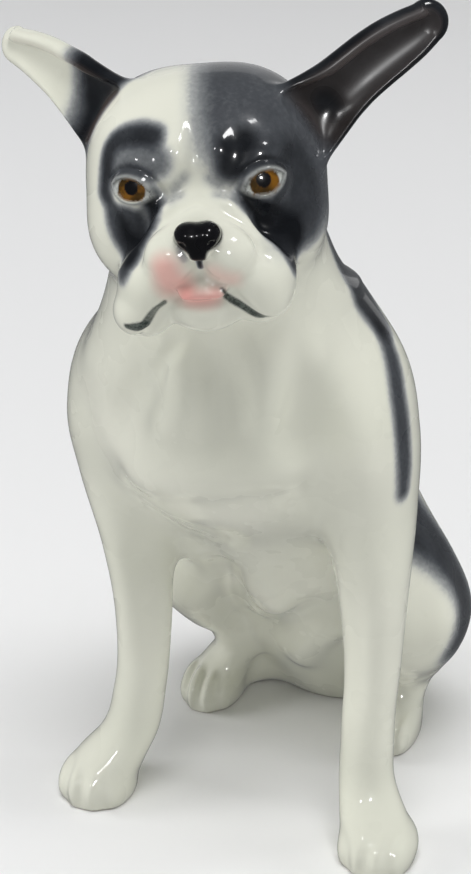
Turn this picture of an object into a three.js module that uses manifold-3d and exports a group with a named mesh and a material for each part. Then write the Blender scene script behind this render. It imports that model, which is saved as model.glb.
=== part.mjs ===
// Seated bulldog figurine in glazed porcelain, as nine castings luted together before firing.
// Millimetres. +Z is up, the dog faces -Y, and +X is the dog's left.

import * as THREE from 'three';
import { LoftGeometry } from 'three/addons/geometries/LoftGeometry.js';
import { mergeVertices } from 'three/addons/utils/BufferGeometryUtils.js';
import Module from 'manifold-3d';

const wasm = await Module();
wasm.setup();

// ---- Driving dimensions ----

const WALL = 3; // thickness of the slip-cast shell
const GAP = 0.3; // luting joint between two castings
const NECK_PASSAGE = 13; // radius of the opening between the head and the torso
const VENT_RADIUS = 4; // vent hole in the seat
const SOLE_ROUND = 4; // rounding where a casting's field ends
const LEAN = 25.3; // degrees that the torso leans forward from upright
const HEAD_CENTRE = new THREE.Vector3(-3.3, -33.6, 163.6);
const HEAD_TURN = 17; // degrees to the dog's left
const HEAD_ROLL = -5; // degrees, the left eye higher
const HEAD_NOD = -6; // degrees, the muzzle slightly raised

// Stations are [height, centre x, centre y, half width, half depth] along a casting's own axis.
const TORSO_ORIGIN = new THREE.Vector3(-2, 44, 0);
const TORSO_STATIONS = [
  [-16, 3, 8, 14, 13],
  [5, 3, 8, 19, 17],
  [27, 1.5, 9.5, 25, 21],
  [58, -0.7, 8, 28.8, 27],
  [90, -2.3, 3, 30.7, 28],
  [118, -4.1, -4, 34.4, 32],
  [142, -3.3, -4, 30.2, 30],
  [164, -2.8, 0, 23.7, 25],
  [186, -3, 4, 19.5, 20],
];
const FORELEG_LEFT_STATIONS = [
  [-6, 36.6, -26.8, 6.4, 8],
  [0, 37, -26.8, 8.6, 10.2],
  [5, 37.2, -26.6, 9.1, 10.4],
  [10, 35.5, -26.5, 8.1, 9.3],
  [17, 32.6, -23.3, 6.9, 7],
  [30, 31.6, -21.5, 6.4, 6.4],
  [50, 31.3, -19, 7, 7],
  [68, 30.3, -17, 8.4, 9.5],
  [86, 27.8, -13, 10.5, 14],
  [104, 25.3, -12, 12, 17],
  [122, 20, -10, 12, 16],
  [136, 12, -8, 8, 12],
];
const FORELEG_RIGHT_STATIONS = [
  [-6, -37.4, -27, 6, 8],
  [0, -37.3, -27, 8.8, 10.6],
  [5, -37.1, -26.6, 9.4, 10.8],
  [10, -34.9, -25.8, 8.9, 9.7],
  [17, -30.8, -23.3, 7.4, 7.3],
  [30, -28, -21.5, 6.5, 6.5],
  [50, -27.8, -19, 7.1, 7],
  [68, -30, -17, 8.4, 9.5],
  [86, -33, -13, 12, 14],
  [104, -34, -12, 13, 17],
  [122, -29, -10, 13, 16],
  [136, -19, -8, 8, 12],
];
const HIND_LEG_LEFT_STATIONS = [
  [-6, 23.7, 25, 5.5, 12],
  [0, 23.7, 25, 7.4, 14],
  [5, 23.7, 25, 7.6, 13.6],
  [9.5, 24.2, 28.5, 6.8, 10.5],
  [14, 24.8, 31.5, 7.2, 9],
  [20, 26, 31, 9.6, 12],
  [28, 27.6, 28, 12.6, 17],
  [40, 28.2, 24.5, 14.6, 20.5],
  [52, 25.2, 23, 13.4, 19],
  [64, 21.3, 25, 9, 13.5],
  [76, 16.5, 29, 4.2, 6.5],
];
const HIND_LEG_RIGHT_STATIONS = [
  [-6, -27.5, 27, 5.5, 12],
  [0, -27.5, 27, 7.6, 13],
  [5, -27.3, 27.2, 7.9, 12.6],
  [9.5, -25.4, 30, 7, 10],
  [14, -22.8, 32, 6.8, 9],
  [20, -23, 32, 7.6, 10.5],
  [28, -26, 29, 9.6, 16],
  [40, -28.5, 24.5, 13, 20.5],
  [52, -27.5, 23, 13.5, 20],
  [64, -24.5, 25, 10, 15],
  [76, -19.5, 29, 5, 8],
];
const TAIL = { from: new THREE.Vector3(-2, 60, 20), to: new THREE.Vector3(-2, 67, 12.5), root: 5.5, tip: 3 };
const HEEL = { from: new THREE.Vector3(-23, 36, 5.5), to: new THREE.Vector3(-13, 43, 7), radius: 7 };

// Each ear runs from its base towards its tip, its cup opens towards "faces", and the rim is rolled
// forward on one side. Outlines are [along the ear, centre, half width] up to the round of the tip.
const EAR_LEFT = {
  base: new THREE.Vector3(16, -29, 181),
  tip: new THREE.Vector3(39, -10, 203),
  faces: new THREE.Vector3(0.35, -1, -0.1),
  rolled: 1,
  outline: [
    [-5, -0.6, 10.2],
    [0, -0.5, 9.1],
    [5, -0.4, 7.9],
    [9, -0.2, 7.1],
    [13, 0, 6.7],
    [18, 0, 6.5],
    [23, -0.3, 6.2],
    [28, -0.8, 5.5],
    [31.4, -1.1, 4.7],
  ],
};
const EAR_RIGHT = {
  base: new THREE.Vector3(-25, -37, 179.5),
  tip: new THREE.Vector3(-54, -26, 191.5),
  faces: new THREE.Vector3(-0.1, -1, 0.15),
  rolled: -1,
  outline: [
    [-5, 0.2, 9.4],
    [0, 0.2, 8.8],
    [4, 0, 8.1],
    [8, -0.4, 7.4],
    [12, -0.8, 6.8],
    [16, -0.9, 6.1],
    [20, -0.8, 5.6],
    [25, -0.3, 4.8],
    [29.6, 0.6, 4],
  ],
};
const EAR_FLATNESS = 2.2; // width over thickness
const CUP_FLATNESS = 1.9;
const CUP_LIFT = 2.3; // the cup's centre line in front of the ear's
const CUP_MARGIN = 1.3; // rim left round the cup
const ROLL_RADIUS = 1.4; // rolled rim at its fullest
const ROLL_INSET = 1.9; // from the ear's edge to the middle of the roll
const ROLL_LIFT = 1.1;

const GLAZE_WHITE = 0xe9e7dc;
const GLAZE_GREY = 0x8f9296;
const GLAZE_DARK = 0x3d4044;

// ---- Shape fields: negative inside, positive outside, in millimetres ----

// Smooth minimum of two distances, rounding the crease over the width k.
function blend(a, b, k) {
  const h = Math.max(k - Math.abs(a - b), 0) / k;
  return Math.min(a, b) - h ** 3 * k / 6;
}

function carve(a, b, k) {
  return -blend(-a, b, k);
}

function ellipsoid(centre, radii) {
  const [rx, ry, rz] = radii;
  return (p) => {
    const x = p.x - centre[0];
    const y = p.y - centre[1];
    const z = p.z - centre[2];
    const scaled = Math.hypot(x / rx, y / ry, z / rz);
    const slope = Math.hypot(x / rx ** 2, y / ry ** 2, z / rz ** 2);
    return slope === 0 ? -Math.min(rx, ry, rz) : scaled * (scaled - 1) / slope;
  };
}

// Round cone along the line from a to b.
function roundCone(p, a, b, radiusA, radiusB) {
  const axis = b.clone().sub(a);
  const from = p.clone().sub(a);
  const lengthSq = axis.lengthSq();
  const drop = radiusA - radiusB;
  const along = from.dot(axis);
  const beyond = along - lengthSq;
  const acrossSq = from.clone().multiplyScalar(lengthSq).sub(axis.clone().multiplyScalar(along)).lengthSq();
  const slant = Math.sign(drop) * drop ** 2 * acrossSq;
  const length = Math.sqrt(lengthSq);
  const side = lengthSq - drop ** 2;
  if (Math.sign(beyond) * side * beyond ** 2 * lengthSq > slant) {
    return Math.sqrt(acrossSq + beyond ** 2 * lengthSq) / lengthSq - radiusB;
  }
  if (Math.sign(along) * side * along ** 2 * lengthSq < slant) {
    return Math.sqrt(acrossSq + along ** 2 * lengthSq) / lengthSq - radiusA;
  }
  return (Math.sqrt(acrossSq * side) / length + along * drop) / lengthSq - radiusA;
}

// Smooth curve through the stations' values in one column, held constant beyond the ends.
function stationValue(stations, column, height) {
  const last = stations.length - 1;
  const h = THREE.MathUtils.clamp(height, stations[0][0], stations[last][0]);
  let i = 0;
  while (i < last - 1 && h >= stations[i + 1][0]) i += 1;
  const rise = (j) => (stations[j + 1][column] - stations[j][column]) / (stations[j + 1][0] - stations[j][0]);
  const slope = (j) => {
    if (j === 0) return rise(0);
    if (j === last) return rise(last - 1);
    const before = stations[j][0] - stations[j - 1][0];
    const after = stations[j + 1][0] - stations[j][0];
    return (rise(j - 1) * after + rise(j) * before) / (before + after);
  };
  const span = stations[i + 1][0] - stations[i][0];
  const u = (h - stations[i][0]) / span;
  return (1 + 2 * u) * (1 - u) ** 2 * stations[i][column]
    + u * (1 - u) ** 2 * span * slope(i)
    + u ** 2 * (3 - 2 * u) * stations[i + 1][column]
    + u ** 2 * (u - 1) * span * slope(i + 1);
}

// Elliptical sections stacked along an axis that leans forward from the origin.
function stacked(stations, { lean = 0, origin = new THREE.Vector3(), round = SOLE_ROUND } = {}) {
  const angle = THREE.MathUtils.degToRad(lean);
  const axis = new THREE.Vector3(0, -Math.sin(angle), Math.cos(angle));
  const back = new THREE.Vector3(0, Math.cos(angle), Math.sin(angle));
  const top = stations[stations.length - 1][0];
  const bottom = stations[0][0];
  return (p) => {
    const q = p.clone().sub(origin);
    const h = q.dot(axis);
    const x = q.x - stationValue(stations, 1, h);
    const y = q.dot(back) - stationValue(stations, 2, h);
    const rx = stationValue(stations, 3, h);
    const ry = stationValue(stations, 4, h);
    const scaled = Math.hypot(x / rx, y / ry);
    const slope = Math.hypot(x / rx ** 2, y / ry ** 2);
    const side = scaled < 1e-6 ? -Math.min(rx, ry) : scaled * (scaled - 1) / slope;
    const end = Math.max(h - top, bottom - h);
    return -blend(-side, -end, round);
  };
}

const headToRow = new THREE.Matrix4().makeRotationZ(THREE.MathUtils.degToRad(HEAD_TURN))
  .multiply(new THREE.Matrix4().makeRotationX(THREE.MathUtils.degToRad(HEAD_NOD)))
  .multiply(new THREE.Matrix4().makeRotationY(THREE.MathUtils.degToRad(HEAD_ROLL)))
  .setPosition(HEAD_CENTRE);
const rowToHead = headToRow.clone().invert();

// Two mirrored ellipsoids, blended over the middle of the head.
function twins([x, y, z], radii, k) {
  const left = ellipsoid([x, y, z], radii);
  const right = ellipsoid([-x, y, z], radii);
  return (q) => blend(left(q), right(q), k);
}

const skullLeft = ellipsoid([6.2, 3, 6], [18.3, 23, 20.3]);
const skullRight = ellipsoid([-7, 3, 6], [18.8, 23, 20.3]);
const cheekLeft = ellipsoid([12.2, -3, -5], [12.1, 14, 12.5]);
const cheekRight = ellipsoid([-13, -3, -5], [12.5, 14, 12.5]);
const brow = ellipsoid([12.3, -12.5, 11.5], [6, 6.5, 4.5]);
const knittedBrow = twins([4.4, -14, 12], [4.2, 6, 5], 2);
const bridge = ellipsoid([0, -17, -5], [11, 12, 9.5]);
const jowls = twins([10, -17, -13.2], [8.3, 11.5, 9], 6);
const upperLip = twins([5, -24.6, -7], [6.8, 6.8, 6.4], 3.5);
const jawCornerRight = ellipsoid([-12.7, -18.3, -19.2], [5.8, 7.2, 5.1]);
const jawCornerLeft = ellipsoid([11.5, -19.3, -17.6], [5.2, 7, 4.8]);
const chin = ellipsoid([0, -20, -17.5], [8.5, 8.8, 6.3]);
const closedMouth = ellipsoid([0.2, -23.2, -12.3], [6.5, 6.4, 4.5]);
const lowerLip = ellipsoid([0.2, -28.9, -13.5], [4.5, 1.2, 1.2]);

const EYE = new THREE.Vector3(13.5, -20.2, 5.9); // the left eye in the head's own axes
const EYE_OUT = new THREE.Vector3(0.3, -0.94, 0.1).normalize();
const LID_RADIUS = 6.1;
const LID_DEPTH = 5; // from the eye's front to the middle of its ball
const socketHollow = ellipsoid([EYE.x, EYE.y - 4, EYE.z], [7.75, 6.2, 6.2]);

function headField(p) {
  const q = p.clone().applyMatrix4(rowToHead);
  const m = new THREE.Vector3(Math.abs(q.x), q.y, q.z);
  let d = blend(skullLeft(q), skullRight(q), 10);
  d = blend(blend(d, cheekLeft(q), 8), cheekRight(q), 8);
  d = blend(d, brow(m), 4);
  d = blend(d, knittedBrow(q), 3);
  d = blend(d, bridge(q), 5);
  d = blend(d, jowls(q), 4);
  d = blend(d, upperLip(q), 3);
  d = blend(blend(d, jawCornerRight(q), 4), jawCornerLeft(q), 4);
  d = blend(d, chin(q), 3);
  d = blend(d, closedMouth(q), 2);
  d = blend(d, lowerLip(q), 1.5);
  const fromEye = m.clone().sub(EYE);
  d = carve(d, Math.max(socketHollow(m), -fromEye.dot(EYE_OUT) - LID_DEPTH), 2.5);
  d = blend(d, fromEye.addScaledVector(EYE_OUT, LID_DEPTH).length() - LID_RADIUS, 3);
  return d;
}

// The nose as [centre, radii] in the head's own axes: right half, left half and tip.
const NOSE = [
  [[-1.6, -30.3, -1.5], [3.1, 3.5, 2.7]],
  [[2.4, -30.3, -1.5], [3.1, 3.5, 2.7]],
  [[0.4, -30.6, -3.9], [2.9, 2.9, 3.3]],
];

// Own axes of an ear: along it, across it, and out of its cup.
function earFrame({ base, tip, faces, outline, rolled }) {
  const along = tip.clone().sub(base).normalize();
  const out = faces.clone().addScaledVector(along, -faces.dot(along)).normalize();
  const across = new THREE.Vector3().crossVectors(out, along);
  return { base, along, across, out, outline, rolled, end: outline[outline.length - 1][0] };
}

// A point of an ear from its distances along, across and out.
const earPoint = ({ base, along, across, out }, x, y, z) => base.clone()
  .addScaledVector(along, x).addScaledVector(across, y).addScaledVector(out, z);

// A flattened tube along an ear's outline, less an inset.
function leafField({ base, along, across, out, outline, end }, flatness, inset, lift) {
  return (p) => {
    const q = p.clone().sub(base);
    const x = q.dot(along);
    const s = THREE.MathUtils.clamp(x, outline[0][0], end - inset);
    const y = q.dot(across) - stationValue(outline, 1, s);
    const z = (q.dot(out) - lift) * flatness;
    return (Math.hypot(x - s, y, z) - stationValue(outline, 2, s) + inset) / Math.sqrt(flatness);
  };
}

function legField(stations) {
  const shank = stacked(stations);
  const [, x, y, halfWidth, halfDepth] = stations[1];
  const toes = [-1, 1].flatMap((side) => [
    ellipsoid(
      [x + side * 0.26 * halfWidth, y - 0.52 * halfDepth, 4.4],
      [0.29 * halfWidth, 0.58 * halfDepth, 5.8],
    ),
    ellipsoid(
      [x + side * 0.71 * halfWidth, y - 0.3 * halfDepth, 3.9],
      [0.31 * halfWidth, 0.55 * halfDepth, 5.2],
    ),
  ]);
  return (p) => toes.reduce((d, toe) => blend(d, toe(p), 1), shank(p));
}

const rightHindLeg = legField(HIND_LEG_RIGHT_STATIONS);
const heelField = (p) => roundCone(p, HEEL.from, HEEL.to, HEEL.radius, HEEL.radius);
const heeledLeg = (p) => blend(rightHindLeg(p), heelField(p), 4);
const torsoField = stacked(TORSO_STATIONS, { lean: LEAN, origin: TORSO_ORIGIN, round: 6 });
const tailField = (p) => roundCone(p, TAIL.from, TAIL.to, TAIL.root, TAIL.tip);

// ---- Rings traced out from a spine to a level of a field, skinned as a loft ----

const MAX_REACH = 60; // further than any casting extends from its spine

function traceRay(field, level, centre, direction) {
  const p = new THREE.Vector3();
  let inside = 0;
  let outside = 0;
  while (outside < MAX_REACH && field(p.copy(centre).addScaledVector(direction, outside)) < level) {
    inside = outside;
    outside += 1;
  }
  for (let halving = 0; halving < 24; halving += 1) {
    const middle = (inside + outside) / 2;
    if (field(p.copy(centre).addScaledVector(direction, middle)) < level) inside = middle;
    else outside = middle;
  }
  return centre.clone().addScaledVector(direction, inside);
}

// A ring is { centre, u, v, lift }: rays fan out in the plane of u and v, tipped by lift out of it.
function tracedLoft(field, level, rings, sides) {
  const sections = rings.map(({ centre, u, v, lift = 0 }) => {
    const normal = new THREE.Vector3().crossVectors(u, v);
    return Array.from({ length: sides }, (_, i) => {
      const angle = i / sides * 2 * Math.PI;
      const direction = u.clone().multiplyScalar(Math.cos(angle) * Math.cos(lift))
        .addScaledVector(v, Math.sin(angle) * Math.cos(lift))
        .addScaledVector(normal, Math.sin(lift));
      return traceRay(field, level, centre, direction);
    });
  });
  return new LoftGeometry(sections, { capStart: true, capEnd: true });
}

const spread = (count, from, to) =>
  Array.from({ length: count }, (_, i) => from + (to - from) * i / (count - 1));

// Level rings up a leg, following the middle of its sections and closest together round the toes.
function legRings(stations, count, top) {
  return spread(count, 0, 1).map((share) => {
    const z = top * share ** 1.6;
    return {
      centre: new THREE.Vector3(stationValue(stations, 1, z), stationValue(stations, 2, z), z),
      u: new THREE.Vector3(1, 0, 0),
      v: new THREE.Vector3(0, 1, 0),
    };
  });
}

// Rings up the torso: level at the seat, square to the leaning axis from the belly upwards.
function torsoRings(count, from, to) {
  const lean = THREE.MathUtils.degToRad(LEAN);
  const levelUntil = 30;
  return spread(count, from, to).map((h) => {
    const tip = lean * THREE.MathUtils.smoothstep(h, 0, levelUntil);
    const middle = stationValue(TORSO_STATIONS, 2, h);
    const centre = new THREE.Vector3(
      TORSO_ORIGIN.x + stationValue(TORSO_STATIONS, 1, h),
      TORSO_ORIGIN.y - h * Math.sin(lean) + middle * Math.cos(lean),
      h * Math.cos(lean) + middle * Math.sin(lean) * THREE.MathUtils.smoothstep(h, 0, levelUntil),
    );
    return { centre, u: new THREE.Vector3(1, 0, 0), v: new THREE.Vector3(0, Math.cos(tip), Math.sin(tip)) };
  });
}

// Cones of rays from the middle of the head, from the back of the skull round to the muzzle.
function headRings(count) {
  const centre = new THREE.Vector3(0, -5, -2).applyMatrix4(headToRow);
  const u = new THREE.Vector3(1, 0, 0).transformDirection(headToRow);
  const v = new THREE.Vector3(0, 0, 1).transformDirection(headToRow);
  const pole = THREE.MathUtils.degToRad(86);
  return spread(count, -pole, pole).map((lift) => ({ centre, u, v, lift }));
}

// Rings along an ear, "aside" from its centre line and lifted out of its plane.
function earRings(frame, count, from, to, lift, aside = () => 0) {
  return spread(count, from, to).map((x) => ({
    centre: earPoint(frame, x, stationValue(frame.outline, 1, x) + aside(x), lift),
    u: frame.across,
    v: frame.out,
  }));
}

// ---- Solids ----

function toSolid(geometry) {
  const bare = new THREE.BufferGeometry();
  bare.setAttribute('position', geometry.attributes.position);
  bare.setIndex(geometry.index);
  const merged = mergeVertices(bare, 1e-4);
  return new wasm.Manifold(new wasm.Mesh({
    numProp: 3,
    vertProperties: new Float32Array(merged.attributes.position.array),
    triVerts: new Uint32Array(merged.index.array),
  }));
}

function toGeometry(solid) {
  const { vertProperties, triVerts, numProp } = solid.getMesh();
  const geometry = new THREE.BufferGeometry();
  const positions = [];
  for (let i = 0; i < vertProperties.length; i += numProp) {
    positions.push(vertProperties[i], vertProperties[i + 1], vertProperties[i + 2]);
  }
  geometry.setAttribute('position', new THREE.Float32BufferAttribute(positions, 3));
  geometry.setIndex(Array.from(triVerts));
  geometry.computeVertexNormals();
  return geometry;
}

const cut = (solid, ...tools) => tools.reduce((left, tool) => left.subtract(tool), solid);

// A straight round cutter, for vents and the neck passage.
function rod(from, to, radius, sides = 20) {
  const axis = to.clone().sub(from);
  const geometry = new THREE.CylinderGeometry(radius, radius, axis.length(), sides);
  const upright = new THREE.Vector3(0, 1, 0);
  const turn = new THREE.Quaternion().setFromUnitVectors(upright, axis.clone().normalize());
  geometry.applyQuaternion(turn);
  geometry.translate(...from.clone().add(to).multiplyScalar(0.5));
  return toSolid(geometry);
}

// ---- The castings ----

const HEAD_RINGS = 46;
const HEAD_SIDES = 60;
const neckAt = (h) => new THREE.Vector3(
  TORSO_ORIGIN.x,
  TORSO_ORIGIN.y - h * Math.sin(THREE.MathUtils.degToRad(LEAN)),
  h * Math.cos(THREE.MathUtils.degToRad(LEAN)),
);
const neckPassage = rod(neckAt(140), neckAt(168), NECK_PASSAGE, 24);
const headSeat = toSolid(tracedLoft(headField, GAP, headRings(HEAD_RINGS), HEAD_SIDES));
const torsoSeat = toSolid(tracedLoft(torsoField, GAP, torsoRings(26, 0, 172), 40));
const seatVent = rod(new THREE.Vector3(2, 52, -1), new THREE.Vector3(2, 52, 20), VENT_RADIUS);

function makeTorso() {
  const outer = toSolid(tracedLoft(torsoField, 0, torsoRings(26, 0, 172), 40));
  const hollow = toSolid(tracedLoft(torsoField, -WALL, torsoRings(14, WALL, 171), 24));
  return cut(outer, headSeat, hollow, seatVent);
}

function makeHead() {
  const outer = toSolid(tracedLoft(headField, 0, headRings(HEAD_RINGS), HEAD_SIDES));
  const hollow = toSolid(tracedLoft(headField, -WALL, headRings(12), 18));
  const nose = NOSE.map(([centre, radii]) => {
    const ball = new THREE.SphereGeometry(1, 20, 14);
    ball.scale(...radii);
    ball.translate(...centre);
    return toSolid(ball.applyMatrix4(headToRow));
  });
  return cut(outer, hollow, neckPassage).add(nose[0]).add(nose[1]).add(nose[2]);
}

function makeEar(ear) {
  const frame = earFrame(ear);
  const { outline, rolled, end } = frame;
  const reach = (inset) => end - inset + stationValue(outline, 2, end) - inset - 0.2;
  const leaf = leafField(frame, EAR_FLATNESS, 0, 0);
  const cup = leafField(frame, CUP_FLATNESS, CUP_MARGIN, CUP_LIFT);
  const edge = (x) => rolled * (stationValue(outline, 2, x) - ROLL_INSET);
  const roll = (p) => {
    const q = p.clone().sub(frame.base);
    const x = q.dot(frame.along);
    const y = q.dot(frame.across) - stationValue(outline, 1, x) - edge(x);
    return Math.hypot(y, q.dot(frame.out) - ROLL_LIFT) - ROLL_RADIUS * THREE.MathUtils.smoothstep(x, -1, 11);
  };
  const root = outline[0][0];
  const shell = toSolid(tracedLoft(leaf, 0, earRings(frame, 20, root, reach(0), 0), 24));
  const hollow = toSolid(tracedLoft(cup, 0, earRings(frame, 18, root, reach(CUP_MARGIN), CUP_LIFT), 24));
  const rim = toSolid(tracedLoft(roll, 0, earRings(frame, 14, 5, end + 0.5, ROLL_LIFT, edge), 12));
  return cut(cut(shell, hollow).add(rim), headSeat);
}

function makeLeg(stations, field = legField(stations)) {
  const top = stations[stations.length - 1][0] - 0.5;
  return cut(toSolid(tracedLoft(field, 0, legRings(stations, 25, top), 32)), torsoSeat, headSeat);
}

function makeTail() {
  const axis = TAIL.to.clone().sub(TAIL.from);
  const length = axis.length();
  axis.normalize();
  const u = new THREE.Vector3(1, 0, 0);
  const v = new THREE.Vector3().crossVectors(axis, u);
  const rings = spread(8, -1, length + TAIL.tip - 0.3).map((along) => ({
    centre: TAIL.from.clone().addScaledVector(axis, along),
    u,
    v,
  }));
  return cut(toSolid(tracedLoft(tailField, 0, rings, 16)), torsoSeat);
}

const castings = [
  ['torso', makeTorso(), GLAZE_WHITE],
  ['head', makeHead(), GLAZE_WHITE],
  ['ear_left', makeEar(EAR_LEFT), GLAZE_DARK],
  ['ear_right', makeEar(EAR_RIGHT), GLAZE_GREY],
  ['foreleg_left', makeLeg(FORELEG_LEFT_STATIONS), GLAZE_WHITE],
  ['foreleg_right', makeLeg(FORELEG_RIGHT_STATIONS), GLAZE_WHITE],
  ['hind_leg_left', makeLeg(HIND_LEG_LEFT_STATIONS), GLAZE_WHITE],
  ['hind_leg_right', makeLeg(HIND_LEG_RIGHT_STATIONS, heeledLeg), GLAZE_WHITE],
  ['tail', makeTail(), GLAZE_WHITE],
];

const group = new THREE.Group();
for (const [name, solid, color] of castings) {
  const material = new THREE.MeshStandardMaterial({ color, roughness: 0.15, metalness: 0 });
  const mesh = new THREE.Mesh(toGeometry(solid), material);
  mesh.name = name;
  group.add(mesh);
}

// The origin is the middle of the footprint, on the ground.
const box = new THREE.Box3().setFromObject(group, true);
const middle = box.getCenter(new THREE.Vector3());
for (const mesh of group.children) {
  mesh.geometry.translate(-middle.x, -middle.y, -box.min.z);
}

export default group;
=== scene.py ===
"""Seated bulldog figurine in glazed, airbrushed porcelain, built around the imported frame.

The surface is one field of distances in millimetres. It is meshed once, cut along the luting
seams into the nine castings of the CAD model, and painted by masks measured in space.
"""

import math
from concurrent.futures import ThreadPoolExecutor

import bpy
import numpy as np
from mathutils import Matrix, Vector


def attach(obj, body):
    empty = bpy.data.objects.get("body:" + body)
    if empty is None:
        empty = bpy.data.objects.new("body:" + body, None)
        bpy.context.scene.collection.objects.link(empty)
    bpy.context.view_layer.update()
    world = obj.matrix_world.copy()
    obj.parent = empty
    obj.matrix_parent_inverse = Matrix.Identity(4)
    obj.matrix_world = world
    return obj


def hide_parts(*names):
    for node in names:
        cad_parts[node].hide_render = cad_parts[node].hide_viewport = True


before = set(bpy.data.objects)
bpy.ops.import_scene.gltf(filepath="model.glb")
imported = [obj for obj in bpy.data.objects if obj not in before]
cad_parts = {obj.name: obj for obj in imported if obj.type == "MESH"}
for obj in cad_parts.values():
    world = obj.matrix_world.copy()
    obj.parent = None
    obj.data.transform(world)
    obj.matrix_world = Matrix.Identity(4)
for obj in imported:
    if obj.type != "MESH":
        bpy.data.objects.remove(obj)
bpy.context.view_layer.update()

MM = 0.001

# ---- Shape tools -------------------------------------------------------------------------
# A field takes an array of points and gives distances, negative inside.


def rotation(pitch=0.0, roll=0.0, yaw=0.0):
    """Columns are the turned axes. Roll about Y comes first, then pitch about X, then yaw about Z."""
    cx, cy, cz = np.cos(np.radians([pitch, roll, yaw]))
    sx, sy, sz = np.sin(np.radians([pitch, roll, yaw]))
    about_x = np.array([[1, 0, 0], [0, cx, -sx], [0, sx, cx]])
    about_y = np.array([[cy, 0, sy], [0, 1, 0], [-sy, 0, cy]])
    about_z = np.array([[cz, -sz, 0], [sz, cz, 0], [0, 0, 1]])
    return about_z @ about_x @ about_y


def smoothstep(low, high, x):
    t = np.clip((x - low) / (high - low), 0, 1)
    return t * t * (3 - 2 * t)


def blend(a, b, width):
    """Union of two fields with the crease between them rounded."""
    h = np.maximum(width - np.abs(a - b), 0) / width
    return np.minimum(a, b) - h**3 * width / 6


def carve(a, b, width):
    """Where both fields are inside, with the edge rounded."""
    return -blend(-a, -b, width)


def ellipsoid(p, centre, radii):
    q = p - np.asarray(centre, float)
    radii = np.asarray(radii, float)
    scaled = np.sqrt(((q / radii) ** 2).sum(1))
    slope = np.sqrt(((q / radii**2) ** 2).sum(1)) + 1e-9
    return scaled * (scaled - 1) / slope


def cone(p, a, b, radius_a, radius_b):
    """Round-ended tapering rod from a to b."""
    a, b = np.asarray(a, float), np.asarray(b, float)
    axis = b - a
    t = np.clip((p - a) @ axis / (axis @ axis), 0, 1)
    return np.linalg.norm(p - a - t[:, None] * axis, axis=1) - (radius_a + (radius_b - radius_a) * t)


def along(stations, column, h):
    """Smooth curve through the stations' values in one column, held constant beyond the ends."""
    at = stations[:, 0]
    value = stations[:, column]
    step = np.diff(at)
    rise = np.diff(value) / step
    middle = (rise[:-1] * step[1:] + rise[1:] * step[:-1]) / (step[1:] + step[:-1])
    slope = np.concatenate([rise[:1], middle, rise[-1:]])
    h = np.clip(h, at[0], at[-1])
    i = np.clip(np.searchsorted(at, h, side="right") - 1, 0, len(at) - 2)
    span = step[i]
    u = (h - at[i]) / span
    start = (1 + 2 * u) * (1 - u) ** 2 * value[i] + u * (1 - u) ** 2 * span * slope[i]
    return start + u * u * (3 - 2 * u) * value[i + 1] + u * u * (u - 1) * span * slope[i + 1]


def stacked(p, stations, lean=0.0, origin=(0, 0, 0), rounding=4.0):
    """Elliptical sections along an axis that leans forward from the origin."""
    sine, cosine = np.sin(np.radians(lean)), np.cos(np.radians(lean))
    q = p - np.asarray(origin, float)
    h = q @ np.array([0, -sine, cosine])
    x = q[:, 0] - along(stations, 1, h)
    y = q @ np.array([0, cosine, sine]) - along(stations, 2, h)
    rx, ry = along(stations, 3, h), along(stations, 4, h)
    scaled = np.sqrt((x / rx) ** 2 + (y / ry) ** 2)
    slope = np.sqrt((x / rx**2) ** 2 + (y / ry**2) ** 2) + 1e-9
    end = np.maximum(h - stations[-1, 0], stations[0, 0] - h)
    return carve(scaled * (scaled - 1) / slope, end, rounding)


# ---- The dog's shape ----------------------------------------------------------------------
# The stations and sizes follow the CAD model. A station is [height, centre x, centre y, half
# width, half depth], in millimetres.

TO_ROW = np.array([4.283, -1.667, 0.0])  # from the modelling origin to the middle of the footprint
TORSO_LEAN, TORSO_ORIGIN = 25.3, (-2, 44, 0)
TORSO = np.array([
    (-16, 3, 8, 14, 13), (5, 3, 8, 19, 17), (27, 1.5, 9.5, 25, 21), (58, -0.7, 8, 28.8, 27),
    (90, -2.3, 3, 30.7, 28), (118, -4.1, -4, 34.4, 32), (142, -3.3, -4, 30.2, 30), (164, -2.8, 0, 23.7, 25),
    (186, -3, 4, 19.5, 20),
], float)
FORELEG_LEFT = np.array([
    (-6, 36.6, -26.8, 6.4, 8), (0, 37, -26.8, 8.6, 10.2), (5, 37.2, -26.6, 9.1, 10.4),
    (10, 35.5, -26.5, 8.1, 9.3), (17, 32.6, -23.3, 6.9, 7), (30, 31.6, -21.5, 6.4, 6.4),
    (50, 31.3, -19, 7, 7), (68, 30.3, -17, 8.4, 9.5), (86, 27.8, -13, 10.5, 14),
    (104, 25.3, -12, 12, 17), (122, 20, -10, 12, 16), (136, 12, -8, 8, 12),
], float)
FORELEG_RIGHT = np.array([
    (-6, -37.4, -27, 6, 8), (0, -37.3, -27, 8.8, 10.6), (5, -37.1, -26.6, 9.4, 10.8),
    (10, -34.9, -25.8, 8.9, 9.7), (17, -30.8, -23.3, 7.4, 7.3), (30, -28, -21.5, 6.5, 6.5),
    (50, -27.8, -19, 7.1, 7), (68, -30, -17, 8.4, 9.5), (86, -33, -13, 12, 14),
    (104, -34, -12, 13, 17), (122, -29, -10, 13, 16), (136, -19, -8, 8, 12),
], float)
HIND_LEG_LEFT = np.array([
    (-6, 23.7, 25, 5.5, 12), (0, 23.7, 25, 7.4, 14), (5, 23.7, 25, 7.6, 13.6), (9.5, 24.2, 28.5, 6.8, 10.5),
    (14, 24.8, 31.5, 7.2, 9), (20, 26, 31, 9.6, 12), (28, 27.6, 28, 12.6, 17), (40, 28.2, 24.5, 14.6, 20.5),
    (52, 25.2, 23, 13.4, 19), (64, 21.3, 25, 9, 13.5), (76, 16.5, 29, 4.2, 6.5),
], float)
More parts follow.
